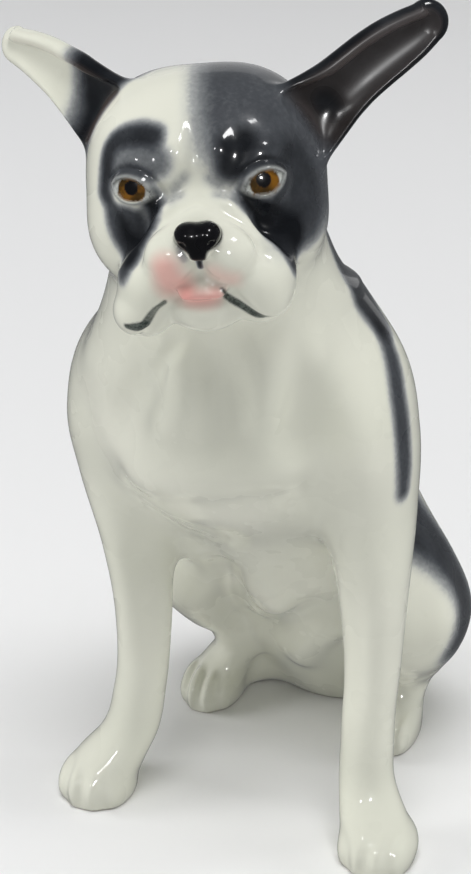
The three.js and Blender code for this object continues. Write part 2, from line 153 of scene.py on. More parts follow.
HIND_LEG_RIGHT = np.array([
    (-6, -27.5, 27, 5.5, 12), (0, -27.5, 27, 7.6, 13), (5, -27.3, 27.2, 7.9, 12.6), (9.5, -25.4, 30, 7, 10),
    (14, -22.8, 32, 6.8, 9), (20, -23, 32, 7.6, 10.5), (28, -26, 29, 9.6, 16), (40, -28.5, 24.5, 13, 20.5),
    (52, -27.5, 23, 13.5, 20), (64, -24.5, 25, 10, 15), (76, -19.5, 29, 5, 8),
], float)
TAIL = ((-2, 60, 20), (-2, 67, 12.5), 5.5, 3)
HEEL = ((-23, 36, 5.5), (-13, 43, 7), 7, 7)  # the right heel, tucked against the seat
VENT, VENT_RADIUS, VENT_DEPTH = (2, 52), 4, 18  # the hole in the seat that let the air out in firing

# A pair of toes: its place sideways and forward and its half width and half depth, as shares of
# the paw's, then the height of its centre and its half height in millimetres.
TOES = [(0.26, 0.52, 0.29, 0.58, 4.4, 5.8), (0.71, 0.3, 0.31, 0.55, 3.9, 5.2)]
TOE_BLEND, HEEL_BLEND = 2.8, 4

# How widely the slip is wiped over each seam, and how far the edges round where the glaze ends
FORELEG_SEAM, HIND_LEG_SEAM, TAIL_SEAM, EAR_SEAM, NECK_SEAM = 15, 10, 5, 3, 8
SOLE_EDGE, VENT_EDGE = 0.8, 0.6

HEAD_CENTRE = np.array([-3.3, -33.6, 163.6])
HEAD_TURN = rotation(pitch=-6, roll=-5, yaw=17)
MIRROR = np.array([-1, 1, 1])

# The left eye, in the head's own axes. The right one is its mirror image.
EYE = np.array([13.5, -20.2, 5.9])
EYE_OUT = np.array([0.30, -0.94, 0.10])
EYE_SLANT = 15  # degrees, the outer corner higher
EYEBALL, LID, SOCKET = 7.2, 6.1, 6.2  # radii
EYE_DEPTH = 5
OPENING = (4.1, 2.2, 2.3)  # half length, rise of the upper lid, drop of the lower lid


def to_head(p):
    """Into the head's own axes: x to the dog's left, -y out of the face, z up."""
    return (p - HEAD_CENTRE) @ HEAD_TURN


def mirrored(q):
    return np.abs(q) * [1, 0, 0] + q * [0, 1, 1]


def pair(q, centre, radii, width):
    """Two mirrored ellipsoids, blended over the middle."""
    return blend(ellipsoid(q, centre, radii), ellipsoid(q * MIRROR, centre, radii), width)


def eye_axes():
    out = EYE_OUT / np.linalg.norm(EYE_OUT)
    across = np.cross([0, 0, 1], out)
    across /= np.linalg.norm(across)
    up = np.cross(out, across)
    slant = np.radians(EYE_SLANT)
    lateral = across * np.cos(slant) + up * np.sin(slant)
    return np.stack([lateral, np.cross(out, lateral), out], 1)


def eye_opening(e):
    """Distance to the edge of the almond between the lids, in the eye's own axes."""
    half, rise, drop = OPENING
    upper = (half**2 + rise**2) / (2 * rise)
    lower = (half**2 + drop**2) / (2 * drop)
    above = np.hypot(e[:, 0], e[:, 1] - (rise - upper)) - upper
    below = np.hypot(e[:, 0], e[:, 1] + (drop - lower)) - lower
    return np.maximum(above, below)


def torso(p):
    return stacked(p, TORSO, TORSO_LEAN, TORSO_ORIGIN, 6)


def tail(p):
    return cone(p, *TAIL)


def leg(p, stations):
    """A leg with four toes round the front of its paw."""
    d = stacked(p, stations)
    _, x, y, half_width, half_depth = stations[1]
    for side in (-1, 1):
        for aside, ahead, wide, deep, height, tall in TOES:
            centre = (x + side * aside * half_width, y - ahead * half_depth, height)
            d = blend(d, ellipsoid(p, centre, (wide * half_width, deep * half_depth, tall)), TOE_BLEND)
    return d


def head(p):
    q = to_head(p)
    m = mirrored(q)
    d = ellipsoid(q, (6.2, 3, 6), (18.3, 23, 20.3))  # the two halves of the skull
    d = blend(d, ellipsoid(q, (-7, 3, 6), (18.8, 23, 20.3)), 10)
    d = blend(d, ellipsoid(q, (12.2, -3, -5), (12.1, 14, 12.5)), 8)  # cheeks
    d = blend(d, ellipsoid(q, (-13, -3, -5), (12.5, 14, 12.5)), 8)
    d = blend(d, ellipsoid(m, (12.3, -12.5, 11.5), (6, 6.5, 4.5)), 4)  # brow over the eye
    d = blend(d, pair(q, (4.4, -14, 12), (4.2, 6, 5), 2), 3)  # knitted brow
    d = blend(d, ellipsoid(q, (0, -17, -5), (11, 12, 9.5)), 5)  # bridge and muzzle
    d = blend(d, pair(q, (10, -17, -13.2), (8.3, 11.5, 9), 6), 4)  # jowl
    d = blend(d, pair(q, (5, -24.6, -7), (6.8, 6.8, 6.4), 3.5), 3)  # upper lip
    d = blend(d, ellipsoid(q, (-13.4, -18.6, -19.3), (6.3, 7.4, 5.5)), 4)  # corners of the jaw
    d = blend(d, ellipsoid(q, (11.5, -19.3, -17.6), (5.2, 7, 4.8)), 4)
    d = blend(d, ellipsoid(q, (0, -20, -17.5), (8.5, 8.8, 6.3)), 3)  # chin
    d = blend(d, ellipsoid(q, (0.2, -23.2, -12.3), (6.5, 6.4, 4.5)), 2)  # closed mouth
    d = blend(d, cone(q, (-3.7, -28.5, -13.8), (4, -28.5, -13.8), 1.6, 1.6), 1.3)  # lower lip
    e = (m - EYE) @ eye_axes()
    behind = -e[:, 2] - EYE_DEPTH
    socket = np.maximum(np.linalg.norm((m - EYE - [0, -4, 0]) / [1.25, 1, 1], axis=1) - SOCKET, behind)
    d = carve(d, -socket, 2.5)
    d = blend(d, np.linalg.norm(e + [0, 0, EYE_DEPTH], axis=1) - LID, 3)
    eyeball = np.linalg.norm(e + [0, 0, EYEBALL - 0.4], axis=1) - EYEBALL
    open_space = np.maximum(np.maximum(eye_opening(e), behind), -0.3 - eyeball)
    d = carve(d, -open_space, 0.5)
    d = blend(d, np.maximum(eyeball, eye_opening(e) - 0.5), 0.2)
    nose = ellipsoid(q, (-1.4, -30.3, -1.7), (2.9, 3.5, 2.6))  # the two wings, then the tip under them
    nose = blend(nose, ellipsoid(q, (2.2, -30.3, -1.7), (2.9, 3.5, 2.6)), 2)
    nose = blend(nose, ellipsoid(q, (0.4, -30.6, -3.9), (2.9, 2.9, 3.3)), 2)
    nostril = ellipsoid(mirrored(q - [0.4, 0, 0]), (3.1, -33.1, -3.1), (0.8, 0.7, 0.5))
    nose = carve(nose, -nostril, 0.8)
    return blend(d, nose, 0.8)


class Ear:
    """A cupped leaf from base to tip, its cup opening towards faces."""

    FLATNESS, CUP_FLATNESS, CUP_OFFSET, MARGIN = 2.2, 1.9, 2.3, 1.3
    ROLL, ROLL_INSET, ROLL_LIFT = 1.7, 1.9, 1.1

    def __init__(self, base, tip, faces, outline, rolled):
        self.base = np.array(base, float)
        axis = np.array(tip, float) - self.base
        axis /= np.linalg.norm(axis)
        out = np.array(faces, float)
        out -= out @ axis * axis
        out /= np.linalg.norm(out)
        self.axes = np.stack([axis, np.cross(out, axis), out], 1)
        self.outline = np.array(outline, float)
        self.rolled = rolled  # the side whose rim is rolled forward, 1 or -1

    def local(self, p):
        return (p - self.base) @ self.axes

    def leaf(self, q, flatness, inset=0.0, lift=0.0):
        """A flattened tube along the outline, less an inset."""
        start, end = self.outline[0, 0], self.outline[-1, 0] - inset
        s = np.clip(q[:, 0], start, end)
        half = along(self.outline, 2, s) - inset
        off = np.stack([q[:, 0] - s, q[:, 1] - along(self.outline, 1, s), (q[:, 2] - lift) * flatness], 1)
        return (np.linalg.norm(off, axis=1) - half) / flatness**0.5

    def cup(self, q, inset):
        """The hollow of the ear, as far in from the outline as the inset."""
        return self.leaf(q, self.CUP_FLATNESS, inset, self.CUP_OFFSET)

    def __call__(self, p):
        q = self.local(p)
        d = carve(self.leaf(q, self.FLATNESS), -self.cup(q, self.MARGIN), 1.2)
        s = q[:, 0]
        edge = along(self.outline, 1, s) + self.rolled * (along(self.outline, 2, s) - self.ROLL_INSET)
        roll = np.hypot(q[:, 1] - edge, q[:, 2] - self.ROLL_LIFT) - self.ROLL * smoothstep(-1, 11, s) + 0.3
        inside = np.maximum(3 - s, s - self.outline[-1, 0] - 1)
        d = blend(d, np.maximum(roll, inside), 1.5)
        pit = ellipsoid(q, (4.5, -0.8 * self.rolled, 2.6), (5.5, 5.2, 4.2))
        return carve(d, -pit, 1.5)


# Outlines are [along the ear, centre, half width] up to the round of the tip.
ear_left = Ear((16, -29, 181), (39, -10, 203), (0.35, -1, -0.1), [
    (-5, -0.6, 10.2), (0, -0.5, 9.1), (5, -0.4, 7.9), (9, -0.2, 7.1), (13, 0, 6.7), (18, 0, 6.5),
    (23, -0.3, 6.2), (28, -0.8, 5.5), (31.4, -1.1, 4.7),
], 1)
ear_right = Ear((-25, -37, 179.5), (-54, -26, 191.5), (-0.1, -1, 0.15), [
    (-5, 0.2, 9.4), (0, 0.2, 8.8), (4, 0, 8.1), (8, -0.4, 7.4), (12, -0.8, 6.8), (16, -0.9, 6.1),
    (20, -0.8, 5.6), (25, -0.3, 4.8), (29.6, 0.6, 4.0),
], -1)

CASTINGS = {
    "torso": torso,
    "head": head,
    "ear_left": ear_left,
    "ear_right": ear_right,
    "foreleg_left": lambda p: leg(p, FORELEG_LEFT),
    "foreleg_right": lambda p: leg(p, FORELEG_RIGHT),
    "hind_leg_left": lambda p: leg(p, HIND_LEG_LEFT),
    "hind_leg_right": lambda p: blend(leg(p, HIND_LEG_RIGHT), cone(p, *HEEL), HEEL_BLEND),
    "tail": tail,
}


def dog(p):
    """The whole figurine: the castings with their seams wiped smooth."""
    part = {name: field(p) for name, field in CASTINGS.items()}
    d = part["torso"]
    for side in ("left", "right"):
        d = blend(d, part["foreleg_" + side], FORELEG_SEAM)
        d = blend(d, part["hind_leg_" + side], HIND_LEG_SEAM)
    d = blend(d, part["tail"], TAIL_SEAM)
    d = carve(d, -p[:, 2], SOLE_EDGE)
    vent = np.maximum(np.hypot(p[:, 0] - VENT[0], p[:, 1] - VENT[1]) - VENT_RADIUS, p[:, 2] - VENT_DEPTH)
    d = carve(d, -vent, VENT_EDGE)
    top = blend(blend(part["head"], part["ear_left"], EAR_SEAM), part["ear_right"], EAR_SEAM)
    return blend(d, top, NECK_SEAM)


# ---- Relief: creases, folds and muscles as strokes laid on the surface ------------------------


def smooth_line(points, pieces=4):
    """Catmull-Rom curve through the points, as a chain of short stretches."""
    points = np.array(points, float)
    ends = np.vstack([2 * points[0] - points[1], points, 2 * points[-1] - points[-2]])
    t = np.linspace(0, 1, pieces, endpoint=False)[:, None]
    out = []
    for a, b, c, d in zip(ends[:-3], ends[1:-2], ends[2:-1], ends[3:]):
        out.append(b + 0.5 * t * (c - a + t * (2 * a - 5 * b + 4 * c - d + t * (3 * (b - c) + d - a))))
    return np.vstack(out + [points[-1:]])


def laid_on(field, points, steps=8, nudge=0.05):
    """The points moved on to a field's surface."""
    for _ in range(steps):
        here = field(points)
        slope = np.stack([field(points + nudge * axis) - here for axis in np.eye(3)], 1) / nudge
        points = points - (here / ((slope**2).sum(1) + 1e-9))[:, None] * slope
    return points


def head_surface(q):
    return head(q @ HEAD_TURN.T + HEAD_CENTRE)


def near(p, line, reach):
    """Which points lie in the line's box, grown by the reach."""
    low, high = line[:, :3].min(0) - reach, line[:, :3].max(0) + reach
    return np.flatnonzero(((p > low) & (p < high)).all(1))


def stroke_distance(p, line, reach):
    """Distance to a line less the line's own radius there. Points out of reach get the reach."""
    d = np.full(len(p), float(reach))
    chosen = near(p, line, reach + line[:, 3].max())
    if len(chosen):
        q = p[chosen]
        best = np.full(len(q), float(reach))
        for a, b in zip(line[:-1], line[1:]):
            best = np.minimum(best, cone(q, a[:3], b[:3], a[3], b[3]))
        d[chosen] = best
    return d


def prepared(strokes, field):
    """Each stroke's points smoothed and laid on the surface, and mirrored where it says both."""
    out = []
    for stroke in strokes:
        line = smooth_line(stroke["points"])
        if line.shape[1] == 3:
            line = np.hstack([line, np.zeros((len(line), 1))])
        sides = [1, -1] if stroke.get("both") else [1]
        for side in sides:
            placed = line * [side, 1, 1, 1]
            placed[:, :3] = laid_on(field, placed[:, :3])
            out.append({**stroke, "line": placed})
    return out


# Points are in the head's own axes. Height is in millimetres, and width is the spread of the stroke.
FACE_RELIEF = [
    # furrow of the forehead and the knitted brow
    {"points": [(0, -16, 20), (0, -19, 11), (0, -20.5, 5)], "width": 1.3, "height": -0.9},
    {"points": [(1.0, -20, 8.5), (2.8, -21, 6), (6, -21.3, 4.6), (9.3, -21, 4.6)],
     "width": 1.1, "height": -1.0, "both": 1},
    # folds from the bridge of the nose over the cheeks
    {"points": [(0, -22, 3.5), (3.5, -23.5, 2), (7, -24, -0.8), (10, -25, -4.5), (13, -25, -9)],
     "width": 1.2, "height": -0.8, "both": 1},
    {"points": [(5, -22.5, 4), (8.5, -22.8, 1.5), (11.8, -23, -2.2), (14.8, -22, -7.5)],
     "width": 1.5, "height": 0.8, "both": 1},
    {"points": [(9.8, -21, 3), (12.2, -21.5, -0.4), (15, -21, -4.5), (17.5, -18.5, -9)],
     "width": 1.2, "height": -0.8, "both": 1},
    # brow fold
    {"points": [(8, -17, 13.9), (11.5, -16.3, 14.6), (15, -15.8, 13), (18, -14, 9.8), (20, -12, 6)],
     "width": 2.0, "height": -0.4, "both": 1},
    # groove under the nose, the line of the mouth and the fold under the lower lip
    {"points": [(0.2, -31.5, -7.5), (0.2, -31.5, -10)], "width": 0.8, "height": -0.9},
    {"points": [(0.2, -31, -9.8), (3.6, -29.8, -13), (7.6, -27.5, -17), (11.5, -24, -20.5), (14.5, -20, -22)],
     "width": 0.9, "height": -1.0, "both": 1},
    {"points": [(-3.5, -29, -16.6), (0.2, -29, -17.2), (4, -29, -16.6)], "width": 1.2, "height": -0.5},
]

# Points are in the modelling axes.
BODY_RELIEF = [
    # breast: two ridges, a hollow each side and one between, and the brisket under them
    {"points": [(-5, -48, 135), (-2, -48, 126), (-4, -48, 119), (-10, -47, 113)], "width": 4, "height": 2.9},
    {"points": [(12, -44, 135), (13, -43, 126), (13, -43, 115)], "width": 4, "height": 3.5},
    {"points": [(1, -48, 134), (5, -47, 126), (5, -46, 114)], "width": 4.5, "height": -2.9},
    {"points": [(-12, -47, 126), (-17, -45, 118), (-23, -41, 109)], "width": 4, "height": -4.3},
    {"points": [(19, -39, 124), (21, -36, 116), (21, -35, 109)], "width": 5.5, "height": -4.6},
    {"points": [(-20, -40, 98), (-2, -44, 102), (9, -42, 104), (19, -36, 104)], "width": 4, "height": 3.4},
    {"points": [(-4, -49, 137), (-7, -48, 132), (-10, -48, 126)], "width": 1.6, "height": -1.6},
    # shoulders
    {"points": [(22, -34, 134), (23, -34, 127)], "width": 3, "height": 2.1},
    {"points": [(28, -27, 119), (30, -28, 107), (31, -27, 98)], "width": 5, "height": 2.2},
    {"points": [(-30, -32, 128), (-34, -30, 115)], "width": 6, "height": 1.8},
    # forelegs: a soft hollow down the front of each
    {"points": [(-26, -25, 71), (-24, -24, 56), (-23, -24, 39)], "width": 3, "height": -1.8},
    {"points": [(28, -27, 70), (27, -25, 56), (28, -26, 39)], "width": 3, "height": -1.3},
    # belly and the folds where the thighs meet it
    {"points": [(-3, -6, 57), (-1, -2, 51), (0, 3, 43)], "width": 3.4, "height": 3.4},
    {"points": [(-20, 16, 30), (-12, 18, 27), (-3, 12, 33), (4, 5, 41), (11, 4, 47)],
     "width": 4.2, "height": -3.4},
    {"points": [(13, 10, 38), (6, 14, 31), (-2, 24, 17)], "width": 3.3, "height": 3.4},
    {"points": [(-16, -12, 68), (-24, 3, 49), (-26, 5, 40)], "width": 4, "height": 2.6},
    {"points": [(-11, -9, 63), (-13, 2, 47), (-18, 15, 33)], "width": 3.4, "height": -3},
    # haunch
    {"points": [(38, 19, 55), (41, 17, 48), (40, 13, 42)], "width": 3.2, "height": 1.4},
    {"points": [(34, 12, 58), (36, 7, 47), (34, 9, 33)], "width": 3.2, "height": -1.4},
]


def relief(p, strokes):
    """How far the strokes raise the surface. Each is a row of soft dabs that run together."""
    rise = np.zeros(len(p))
    for stroke in strokes:
        line, width = stroke["line"][:, :3], stroke["width"]
        chosen = near(p, stroke["line"], 4 * width)
        q = p[chosen]
        for a, b in zip(line[:-1], line[1:]):
            share = stroke["height"] * np.linalg.norm(b - a) / (np.sqrt(2 * np.pi) * width)
            rise[chosen] += share * np.exp(-0.5 * ((q - (a + b) / 2) ** 2).sum(1) / width**2)
    return rise


# ---- Paint: airbrush and brush strokes, and some painted shade, laid on the same surface ----
# A stroke is solid within its points' radius and fades out over "soft" millimetres.

# Points are (x, y, z, radius) in the head's own axes.
FACE_PAINT = {
    "dark": [
        # the right eye's patch: an arc over the brow, a veil above the lid and a wedge below
        {"points": [(-19.5, -14, 5, 0.4), (-18.6, -14, 10, 0.6), (-16, -14, 14, 0.8), (-12, -16, 16.2, 1),
                    (-8.6, -17, 15.8, 0.8)], "soft": 3.8, "strength": 0.9},
        {"points": [(-16, -16, 10, 2), (-12, -18, 12, 2.6), (-8.5, -18.5, 11, 1.5)],
         "soft": 4.5, "strength": 0.6},
        {"points": [(-18.9, -16, 3, 0.4), (-18.6, -18, -1, 0.8), (-16.5, -20, -6, 1.2),
                    (-13.5, -22, -11, 0.8)], "soft": 3.8, "strength": 0.8},
        {"points": [(-9.2, -21, 4.2, 0.3), (-10, -21, 1, 0.8), (-12, -21.5, -4, 1.6), (-13, -22, -9, 1)],
         "soft": 3, "strength": 0.97},
        {"points": [(-15, -19, -0.5, 1.5), (-14.5, -20, -5, 1.8)], "soft": 3.5, "strength": 0.8},
        {"points": [(-17.2, -18, 8.2, 0.3), (-13.5, -20, 9.9, 0.5), (-9.8, -20, 8, 0.3)],
         "soft": 2.2, "strength": 0.55},
        # the left eye's patch
        {"points": [(17.4, -18, 8.6, 0.3), (13.5, -20, 10.1, 0.5), (9.8, -20, 8, 0.3)],
         "soft": 2.2, "strength": 0.6},
        {"points": [(17.8, -18, 6.5, 0.3), (16, -19, 2.6, 0.5)], "soft": 2, "strength": 0.6},
        {"points": [(9.5, -21, 4, 0.3), (11.5, -20, 0.5, 1.2), (14.5, -19, -2.5, 2.6), (17, -18, -6, 3.2),
                    (17.8, -18, -10, 1.8)], "soft": 3.6, "strength": 1.0},
        {"points": [(20, -13, 9, 1.5), (21.5, -13, 3, 2.5), (20.5, -14, -4, 3)], "soft": 6, "strength": 0.62},
        {"points": [(6.6, -18.5, 9.2, 1.2), (7.6, -18, 12.3, 1.8), (9.5, -17.5, 13.6, 1)],
         "soft": 3.8, "strength": 0.95},
        {"points": [(11, -17, 11.5, 1.5), (16, -15.5, 11, 1.5)], "soft": 4, "strength": 0.55},
        # painted shade along the knitted creases running to the inner corners of the eyes
        {"points": [(2, -20.5, 7, 0.1), (5, -21.2, 4.9, 0.2), (9, -21, 4.6, 0.4)],
         "soft": 2.4, "strength": 0.24},
        {"points": [(-2, -20.5, 7.5, 0.1), (-5, -21.2, 5, 0.2), (-9, -21, 4.6, 0.4)],
         "soft": 2.4, "strength": 0.24},
        # the line from the nose down to the lips
        {"points": [(0.3, -31.8, -6.5, 0.5), (0.2, -31.5, -9.3, 0.15)], "soft": 0.7, "strength": 0.9},
        # a smudge beside the nose
        {"points": [(-3.6, -31.5, -4.4, 0.3), (-2.6, -31.5, -6.2, 0.4)], "soft": 1.1, "strength": 0.28},
    ],
    "pink": [  # the cheek, the lips and the other cheek
        {"points": [(-6.5, -31, -8.3, 0.6), (-5.6, -29.6, -11.3, 1), (-3.9, -28.3, -13.2, 0.6)],
         "soft": 4.8, "strength": 0.62},
        {"points": [(-2.2, -28.9, -14.3, 0.6), (2.4, -28.9, -14.4, 0.6)], "soft": 3, "strength": 0.72},
        {"points": [(3.2, -30.3, -10, 0.4), (6, -29.5, -11.4, 0.4)], "soft": 3.6, "strength": 0.34},
    ],
    "brush": [  # the corners of the mouth
        {"points": [(4.1, -28.8, -13.4, 0.15), (5.9, -27.2, -16, 0.5), (8.5, -25.8, -18.3, 0.6),
                    (11.2, -24.5, -20.3, 0.7), (13.6, -23, -20.9, 0.2)], "soft": 0.45, "strength": 0.95},
        {"points": [(-7.7, -27.3, -16.3, 0.5), (-9.4, -27.2, -17.4, 0.6), (-11.2, -26.1, -19.3, 0.8),
                    (-12.4, -25.5, -20.5, 0.9)], "soft": 0.5, "strength": 0.85},
        {"points": [(-12.4, -25.5, -20.6, 0.9), (-14, -25, -20.8, 0.9), (-15.8, -24, -20.6, 0.4)],
         "soft": 0.5, "strength": 0.95},
    ],
}

# Points are (x, y, z, radius) in the modelling axes.
BODY_PAINT = [
    # neck, shoulder and haunch, all on the left
    {"points": [(15, -11, 156, 4), (18.5, -8, 146, 5), (22, -8, 138, 4.6), (26, -8, 130, 2)],
     "soft": 5.5, "strength": 0.92},
    {"points": [(27, -9.5, 129, 0.5), (30.5, -12, 124, 0.6), (34, -16, 117, 0.8), (36, -17.5, 109, 1),
                (37, -18.5, 101, 0.8), (37.5, -19, 95, 0.1)], "soft": 4.6, "strength": 0.8},
    {"points": [(20, 20, 76, 4), (29, 20, 68, 4.5), (36, 24, 59, 3.5), (42, 25, 48, 2.5), (44, 24, 40, 2.5),
                (43, 22, 33, 1.5)], "soft": 9.5, "strength": 0.88},
]

# ---- Mesh ------------------------------------------------------------------------------------

GRID = 1.3  # the first mesh's step, which one subdivision halves
COARSE = 4  # grid steps between the samples that find where the surface is
NEARBY = 7  # grid steps from the surface within which every sample is worked out
FAR = 10.0  # stands for the field's value everywhere else
LOWEST, HIGHEST = (-66, -78, -5), (62, 79, 212)  # corners of the space that is meshed
SEAM_ROUNDS = 12
THREADS = 4


def threaded(function, p):
    """The function's values, worked out on several threads when there are many points."""
    if len(p) < 20000:
        return function(p)
    with ThreadPoolExecutor(THREADS) as pool:
        return np.concatenate(list(pool.map(function, np.array_split(p, THREADS * 2))))


def gradient(field, p, step=0.03):
    n = len(p)
    shifts = np.vstack([np.eye(3), -np.eye(3)]) * step
    values = threaded(field, np.concatenate([p + shift for shift in shifts])).reshape(6, n)
    return ((values[:3] - values[3:]) / (2 * step)).T


def sampled(field, low, step, count):
    """The field on a grid, worked out only near the surface."""
    few = (count - 1) // COARSE + 1
    axes = [low[i] + np.arange(few[i]) * step * COARSE for i in range(3)]
    sparse = threaded(field, np.stack(np.meshgrid(*axes, indexing="ij"), -1).reshape(-1, 3)).reshape(few)
    nearest = [np.clip(np.round(np.arange(count[i]) / COARSE).astype(int), 0, few[i] - 1) for i in range(3)]
    rough = sparse[np.ix_(*nearest)]
    values = np.where(rough > 0, FAR, -FAR)
    close = np.abs(rough) < step * NEARBY
    values[close] = threaded(field, low + np.argwhere(close) * step)
    return values


def surface_nets(field, low, high, step):
    """Vertices and quads of the field's zero surface."""
    low, high = np.array(low, float), np.array(high, float)
    count = np.ceil((high - low) / (step * COARSE)).astype(int) * COARSE + 1
    values = sampled(field, low, step, count)
    inside = values < 0
    corners = np.array([(x, y, z) for x in (0, 1) for y in (0, 1) for z in (0, 1)])
    blocks = [values[x:count[0] - 1 + x, y:count[1] - 1 + y, z:count[2] - 1 + z] for x, y, z in corners]
    filled = sum((block < 0).astype(int) for block in blocks)
    crossed = (filled > 0) & (filled < 8)
    cells = np.argwhere(crossed)
    index = np.full(crossed.shape, -1)
    index[crossed] = np.arange(len(cells))
    at = np.stack([block[crossed] for block in blocks], 1)
    total, hits = np.zeros((len(cells), 3)), np.zeros(len(cells))
    for i in range(8):
        for j in range(i + 1, 8):
            if np.abs(corners[i] - corners[j]).sum() != 1:
                continue
            split = (at[:, i] < 0) != (at[:, j] < 0)
            t = np.where(split, at[:, i] / np.where(split, at[:, i] - at[:, j], 1), 0)
            total += np.where(split[:, None], corners[i] + t[:, None] * (corners[j] - corners[i]), 0)
            hits += split
    vertices = low + (cells + total / hits[:, None]) * step
    quads = []
    for axis in range(3):
        others = [i for i in range(3) if i != axis]
        here, there = [slice(None)] * 3, [slice(None)] * 3
        here[axis], there[axis] = slice(0, count[axis] - 1), slice(1, count[axis])
        for i in others:
            here[i] = there[i] = slice(1, count[i] - 1)
        a, b = inside[tuple(here)], inside[tuple(there)]
        edge = np.argwhere(a != b)
        leaving = a[a != b]
        edge[:, others] += 1
        ring = []
        for back in ((1, 1), (0, 1), (0, 0), (1, 0)):
            cell = edge.copy()
            cell[:, others] -= back
            ring.append(index[tuple(cell.T)])
        quad = np.stack(ring, 1)
        forward = leaving if axis != 1 else ~leaving
        quad[~forward] = quad[~forward][:, ::-1]
        quads.append(quad)
    return vertices, np.concatenate(quads)


def settle(field, vertices, rounds=2, furthest=1.0):
    """Vertices moved on to the zero surface."""
    for _ in range(rounds):
        slope = gradient(field, vertices)
        move = (threaded(field, vertices) / ((slope**2).sum(1) + 1e-9))[:, None] * slope
        length = np.linalg.norm(move, axis=1, keepdims=True)
        vertices = vertices - move * np.minimum(1, furthest / np.maximum(length, 1e-9))
    return vertices


def edges_of(quads):
    return np.concatenate([quads[:, [i, (i + 1) % 4]] for i in range(4)])


def subdivide(vertices, quads):
    """Each quad as four, with the new vertices halfway along the edges and in the middle."""
    edges = np.sort(edges_of(quads), 1)
    unique, place = np.unique(edges, axis=0, return_inverse=True)
    place = place.reshape(-1)
    n, first = len(quads), len(vertices)
    side = [first + place[i * n:(i + 1) * n] for i in range(4)]
    centre = first + len(unique) + np.arange(n)
    finer = np.concatenate([np.stack([quads[:, i], side[i], centre, side[i - 1]], 1) for i in range(4)])
    return np.concatenate([vertices, vertices[unique].mean(1), vertices[quads].mean(1)]), finer


def compact(vertices, quads):
    """The quads with only the vertices that they use."""
    used = np.unique(quads)
    place = np.full(len(vertices), -1)
    place[used] = np.arange(len(used))
    return vertices[used], place[quads]


def islands(quads, count):
    """For each quad, the lowest vertex of the connected patch it belongs to."""
    root = np.arange(count)
    while True:
        low = root[quads].min(1)
        new = root.copy()
        for i in range(4):
            np.minimum.at(new, quads[:, i], low)
        new = new[new]
        if (new == root).all():
            return root[quads[:, 0]]
        root = new


def seam_labels(vertices, quads):
    """The casting each quad belongs to, each casting one patch that meets itself along edges only."""
    middle = vertices[quads].mean(1)
    label = np.stack([threaded(field, middle) for field in CASTINGS.values()]).argmin(0)
    for _ in range(SEAM_ROUNDS):
        changed = False
        for k in range(len(CASTINGS)):
            mine = np.flatnonzero(label == k)
            patch = islands(quads[mine], len(vertices))
            names, sizes = np.unique(patch, return_counts=True)
            stray = mine[patch != names[sizes.argmax()]]
            edges = edges_of(quads[mine])
            code = edges.min(1).astype(np.int64) * len(vertices) + edges.max(1)
            _, first, uses = np.unique(code, return_index=True, return_counts=True)
            open_edges = edges[first[uses == 1]]
            ends = np.bincount(open_edges.ravel(), minlength=len(vertices))
            pinched = np.flatnonzero((ends[quads] > 2).any(1) & (label == k))
            for group in (stray, pinched):
                if len(group) == 0:
                    continue
                changed = True
                for quad in group:
                    around = label[(np.isin(quads, quads[quad])).any(1)]
                    others = around[around != k]
                    if len(others):
                        label[quad] = np.bincount(others).argmax()
        if not changed:
            break
    return label


def open_loops(quads):
    """The patch's boundary as ordered loops, each running against its quads' winding."""
    edges = edges_of(quads)
    size = quads.max() + 1
    code = edges[:, 0].astype(np.int64) * size + edges[:, 1]
    twin = edges[:, 1].astype(np.int64) * size + edges[:, 0]
    following = {int(b): int(a) for a, b in edges[~np.isin(code, twin)]}
    loops = []
    while following:
        start, current = following.popitem()
        loop = [start]
        while current != start:
            loop.append(current)
            current = following.pop(current)
        loops.append(loop)
    return loops


LIP = 1.5  # how far a seam's edge turns in before the wall that closes the casting


def closed(vertices, quads, normals):
    """The patch with a wall across each opening: vertices, quads, triangles and normals."""
    vertices, normals, quads, triangles = [vertices], [normals], [quads], []
    count = len(vertices[0])
    for loop in open_loops(quads[0]):
        n = len(loop)
        rim = np.array(loop)
        inner = count + np.arange(n)
        wall = vertices[0][rim] - LIP * normals[0][rim]
        vertices += [wall, wall.mean(0, keepdims=True)]
        normals += [normals[0][rim], normals[0][rim].mean(0, keepdims=True)]
        quads.append(np.stack([rim, np.roll(rim, -1), np.roll(inner, -1), inner], 1))
        triangles.append(np.stack([inner, np.roll(inner, -1), np.full(n, count + n)], 1))
        count += n + 1
    return np.concatenate(vertices), np.concatenate(quads), np.concatenate(triangles), np.concatenate(normals)


def painted(q, strokes):
    """How strongly a paint covers each point."""
    bare = np.ones(len(q))
    for stroke in strokes:
        reach = stroke["soft"]
        fade = smoothstep(1, 0, stroke_distance(q, stroke["line"], reach) / reach)
        bare *= 1 - stroke["strength"] * fade
    return 1 - bare


FACE_STROKES = prepared(FACE_RELIEF, head_surface)
BODY_STROKES = prepared(BODY_RELIEF, dog)


def lids(q):
    """Rim of each eye's lids and the crease above it."""
    e = (mirrored(q) - EYE) @ eye_axes()
    edge = eye_opening(e)
    near_eye = smoothstep(-5, -3, e[:, 2]) * smoothstep(-8, -12, q[:, 1])
    rim = 0.22 * np.exp(-(((edge - 0.5) / 0.4) ** 2))
    crease = -0.4 * np.exp(-(((edge - 1.9) / 0.6) ** 2)) * smoothstep(-0.5, 1.5, e[:, 1])
    return near_eye * (rim + crease)


